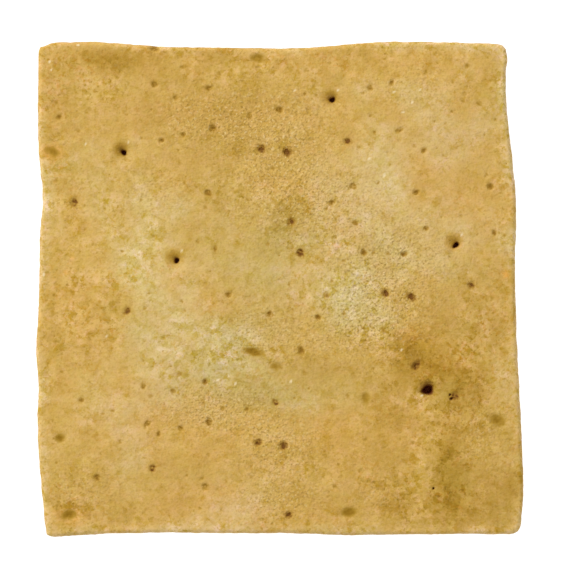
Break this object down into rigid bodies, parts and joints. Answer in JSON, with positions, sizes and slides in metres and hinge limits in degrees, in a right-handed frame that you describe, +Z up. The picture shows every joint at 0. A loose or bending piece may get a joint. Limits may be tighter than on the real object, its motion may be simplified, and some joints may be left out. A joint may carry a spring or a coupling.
{
  "type": "square rye cracker",
  "caption": "Thin square baked rye cracker with wavy sides, soft corners, a rounded rim and small docking holes across its top.",
  "frame": {"origin": "middle of the underside's box, at the height of the surface that the cracker lies on", "axes": "+Z up through the thickness, towards the docked face; +Y along the longer side, the top of the picture; +X to the picture's right"},
  "size_m": [0.065, 0.066, 0.0031],
  "materials": {
    "baked_rye_dough": "dry matt baked crust, golden tan with olive and brown mottling and a fine grain"
  },
  "bodies": {
    "root": {"cracker": "baked_rye_dough"}
  },
  "joints": []
}
